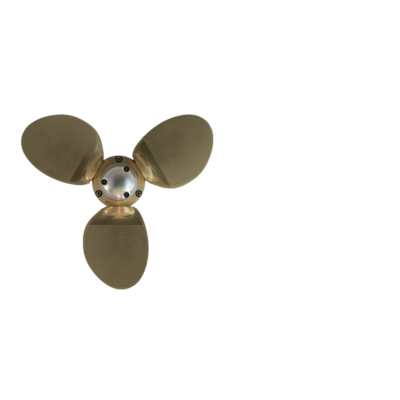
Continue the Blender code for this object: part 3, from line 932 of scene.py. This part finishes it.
def screwShade(points, screw, angle, high):
    # painted shade: dark socket, dark head where the screw sits deep in a pocket, dark shank under
    # the head
    away = awayFrom(points, screw["circle"], angle)
    depth = high - points[:, 2]
    outside = np.where(
        depth > socketScrew["shankShadeBelow"], socketScrew["shankShade"], screw["headShade"]
    )
    socket = (away < socketScrew["socketCorner"] + slack) & (depth > socketScrew["socketShadeBelow"])
    return np.where(socket, screw["socketShade"], outside)


def makeScrews(name, node, screw):
    for number, angle in enumerate(screw["angles"], start=1):
        bm, high = screwShape(screw, angle)
        obj = meshObject(f"{name}{number}", bm)
        addShare(obj.data, "grimeAndShade", screwShade(vertexPlaces(obj.data), screw, angle, high))
        finishPiece(obj, "hub", f"{node}_{number}", darkScrewSteel)


makeScrews("domeScrew", "anode_screw", domeScrew)
makeScrews("hubBolt", "hub_bolt", hubBolt)


boss = {
    "radius": 23 * mm,
    "top": hubBall["bladePlane"] + 20 * mm,
    "flangeRadius": 30 * mm,
    "flangeLow": hubBall["bladePlane"] - hubShell["cavityHalfHeight"] + hubBall["gap"],
    "flangeThickness": 5 * mm,
    "boreForward": 15 * mm,
    "boreAft": 12 * mm,
    "taperLength": 60 * mm,
    "chamfer": 1 * mm,
    "fineChamfer": 0.3 * mm,
    "keyWidth": 8 * mm,
    "keyDepth": 3.5 * mm,
    "steps": 128,
    "sharpOver": 20,
    # painted shade inside the bore, and a faint even darkening everywhere else
    "boreShade": 0.25,
    "grimeAndShade": 0.05,
}


def makeBoss():
    radius, flange, top = boss["radius"], boss["flangeRadius"], boss["top"]
    low, high = boss["flangeLow"], boss["flangeLow"] + boss["flangeThickness"]
    edge, fine = boss["chamfer"], boss["fineChamfer"]
    forward, aft = boss["boreForward"], boss["boreAft"]
    profile = [
        (forward + edge, 0), (radius - edge, 0), (radius, edge), (radius, low),
        (flange - fine, low), (flange, low + fine), (flange, high - fine), (flange - fine, high),
        (radius, high), (radius, top - edge), (radius - edge, top),
        (aft + fine, top), (aft, top - fine), (aft, boss["taperLength"]), (forward, edge),
    ]
    reach = forward + boss["keyDepth"]
    keyway = bmesh.new()
    size = Matrix.Diagonal((reach, boss["keyWidth"], 2 * boss["taperLength"])).to_4x4()
    bmesh.ops.create_cube(keyway, size=1, matrix=Matrix.Translation((reach / 2, 0, 0)) @ size)
    fall = math.atan((forward - aft) / boss["taperLength"])
    placed(keyway, Matrix.Rotation(-fall, 4, "Y"))
    bm = cutOut(spunShape(profile, boss["steps"]), [keyway])
    edgeSharpness(bm, boss["sharpOver"])
    obj = meshObject("keyedBoss", bm)
    points = vertexPlaces(obj.data)
    # painted shade down the bore
    inBore = (np.hypot(points[:, 0], points[:, 1]) < reach) & (points[:, 2] > 2 * edge)
    addShare(obj.data, "grimeAndShade", np.where(inBore, boss["boreShade"], boss["grimeAndShade"]))
    finishPiece(obj, "hub", "shaft_boss", turnedBronze)


makeBoss()


camera = {
    "viewCentre": (163.4 * mm, -35.9 * mm),
    "away": 13.38,
    "slant": math.radians(1.7),
    "lens": 600,
    "clipEnd": 60,
}
floor = {
    "size": 3.0,
    "steps": 96,
    "colour": (0.1, 0.1, 0.1, 1),
    "roughness": 0.9,
    "glow": 0.98,
    # the metal sees a greyer sheet that falls off to the far side
    "sheetFar": (0.125, 0.113, 0.098, 1),
    "sheetLeft": (0.37, 0.345, 0.345, 1),
    "sheetRight": (0.53, 0.54, 0.52, 1),
    "leftToRight": (-0.1, 0.1),
    "farToNear": (50 * mm, -20 * mm),
    "bow": -0.25,  # how the far side comes nearer to left and right
}
studio = {
    # air: height of the direction, light
    "air": [
        (0.0, (0.25, 0.22, 0.18)),
        (0.242, (0.50, 0.43, 0.35)),
        (0.53, (0.30, 0.265, 0.225)),
        (0.743, (0.335, 0.30, 0.25)),
        (0.883, (0.19, 0.18, 0.16)),
        (0.94, (0.105, 0.10, 0.09)),
        (0.97, (0.08, 0.078, 0.072)),
        (1.0, (0.041, 0.046, 0.044)),
    ],
    # soft lamps: azimuth, angle from overhead, angles where the fall-off starts and ends, light
    "lamps": [
        (-32, 58, 8, 31, (0.47, 0.47, 0.44)),
        (-5, 41, 4, 23, (0.44, 0.58, 0.64)),
        (-45, 40, 4, 20, (0.15, 0.25, 0.35)),
        (0, 74, 6, 30, (0.15, 0.25, 0.30)),
        (-20, 82, 4, 22, (0.23, 0.36, 0.45)),
        (-41, 57, 2, 13, (0.90, 0.90, 0.88)),
        (201, 67, 4, 20, (1.05, 0.95, 0.88)),
        (190, 46, 4, 28, (0.15, 0.17, 0.20)),
        (270, 50, 6, 34, (0.37, 0.305, 0.19)),
        (-60, 22, 0, 26, (0.092, 0.102, 0.066)),
        (-62, 86, 5, 17, (1.15, 1.35, 1.5)),
        (194, 90, 4, 22, (0.45, 0.41, 0.38)),
        (150, 20, 0, 22, (0.044, 0.034, 0.027)),
        (57, 86, 6, 26, (0.15, 0.13, 0.10)),
        (75, 19, 1, 11, (0.055, 0.05, 0.042)),
        (5, 14, 0, 18, (0.02, 0.024, 0.021)),
        (28, 66, 4, 20, (0.13, 0.13, 0.125)),
        (225, 83, 3, 15, (0.22, 0.21, 0.20)),
        (170, 86, 2, 13, (0.30, 0.235, 0.18)),
    ],
    # upright strip of light on the side of the first blade
    "stripLight": (1.15, 0.72, 0.40),
    "stripWidth": 0.085,
    "stripFront": (-0.78, -0.93),
    # darker low down behind the far side of the object
    "farShade": (0.09, 0.085, 0.07),
    "farLow": (0.22, 0.08),
    "farBehind": (0.45, 0.75),
}


def makeFloor():
    bm = bmesh.new()
    bmesh.ops.create_circle(bm, cap_ends=True, segments=floor["steps"], radius=floor["size"])
    obj = meshObject("floor", bm)
    material, tree, shader = newFinish("paleFloor", 0.0)
    shader.inputs["Base Color"].default_value = floor["colour"]
    shader.inputs["Roughness"].default_value = floor["roughness"]
    shader.inputs["Specular IOR Level"].default_value = 0.0
    shader.inputs["Emission Color"].default_value = (1, 1, 1, 1)
    shader.inputs["Emission Strength"].default_value = floor["glow"]
    parts = objectPlace(tree)[1]
    aside = mathNode(tree, "ABSOLUTE", parts["X"])
    lit = rangeNode(tree, plusNode(tree, parts["Y"], aside, floor["bow"]), *floor["farToNear"])
    side = rangeNode(tree, parts["X"], *floor["leftToRight"])
    near = mixColours(tree, side, floor["sheetLeft"], floor["sheetRight"])
    sheet = mixColours(tree, lit, floor["sheetFar"], near)
    soft = addNode(tree, "ShaderNodeEmission", {"Color": sheet, "Strength": 1.0}).outputs[0]
    glossy = addNode(tree, "ShaderNodeLightPath").outputs["Is Glossy Ray"]
    seen = addNode(tree, "ShaderNodeMixShader", {0: glossy, 1: shader.outputs[0], 2: soft})
    # nothing shows from below, so that the object can be looked at from there
    behind = addNode(tree, "ShaderNodeNewGeometry").outputs["Backfacing"]
    clear = addNode(tree, "ShaderNodeBsdfTransparent").outputs[0]
    both = addNode(tree, "ShaderNodeMixShader", {0: behind, 1: seen.outputs[0], 2: clear})
    tree.links.new(both.outputs[0], tree.nodes["Material Output"].inputs["Surface"])
    obj.data.materials.append(material)


def makeAir(tree, up):
    ramp = addNode(tree, "ShaderNodeValToRGB", {0: up})
    bar = ramp.color_ramp
    while len(bar.elements) < len(studio["air"]):
        bar.elements.new(0.5)
    for element, (place, colour) in zip(bar.elements, studio["air"]):
        element.position = place
        element.color = (*colour, 1)
    return ramp.outputs[0]


def addLamp(tree, light, direction, lamp):
    azimuth, off, inner, outer = (math.radians(angle) for angle in lamp[:4])
    flat = math.sin(off)
    towards = (math.cos(azimuth) * flat, math.sin(azimuth) * flat, math.cos(off))
    inputs = {0: direction, 1: towards}
    near = addNode(tree, "ShaderNodeVectorMath", inputs, operation="DOT_PRODUCT").outputs["Value"]
    factor = rangeNode(tree, near, math.cos(outer), math.cos(inner))
    return mixColours(tree, factor, light, (*lamp[4], 1), "ADD")


def makeWorld():
    world = bpy.data.worlds.new("studioAir")
    scene.world = world
    world.use_nodes = True
    tree = world.node_tree
    direction = addNode(tree, "ShaderNodeTexCoord").outputs["Generated"]
    across, along, up = addNode(tree, "ShaderNodeSeparateXYZ", {0: direction}).outputs
    low = rangeNode(tree, up, *studio["farLow"])  # 1 near the horizon
    shade = mathNode(tree, "MULTIPLY", low, rangeNode(tree, along, *studio["farBehind"]))
    light = mixColours(tree, shade, makeAir(tree, up), (*studio["farShade"], 1))
    for lamp in studio["lamps"]:
        light = addLamp(tree, light, direction, lamp)
    aside = mathNode(tree, "ABSOLUTE", across)
    narrow = rangeNode(tree, aside, studio["stripWidth"], studio["stripWidth"] / 3)
    strip = mathNode(tree, "MULTIPLY", narrow, rangeNode(tree, along, *studio["stripFront"]))
    light = mixColours(tree, strip, light, (*studio["stripLight"], 1), "ADD")
    # the background itself stays white
    direct = addNode(tree, "ShaderNodeLightPath").outputs["Is Camera Ray"]
    light = mixColours(tree, direct, light, (1, 1, 1, 1))
    tree.links.new(light, tree.nodes["Background"].inputs["Color"])


def makeCamera():
    data = bpy.data.cameras.new("camera")
    data.lens = camera["lens"]
    data.clip_end = camera["clipEnd"]
    obj = bpy.data.objects.new("camera", data)
    x, y = camera["viewCentre"]
    slant, away = camera["slant"], camera["away"]
    obj.location = (x - away * math.sin(slant), y, hubBall["bladePlane"] + away * math.cos(slant))
    obj.rotation_euler = (0, -slant, 0)
    scene.collection.objects.link(obj)
    scene.camera = obj


makeFloor()
makeWorld()
makeCamera()
scene.view_settings.view_transform = "Standard"
print("studio made")
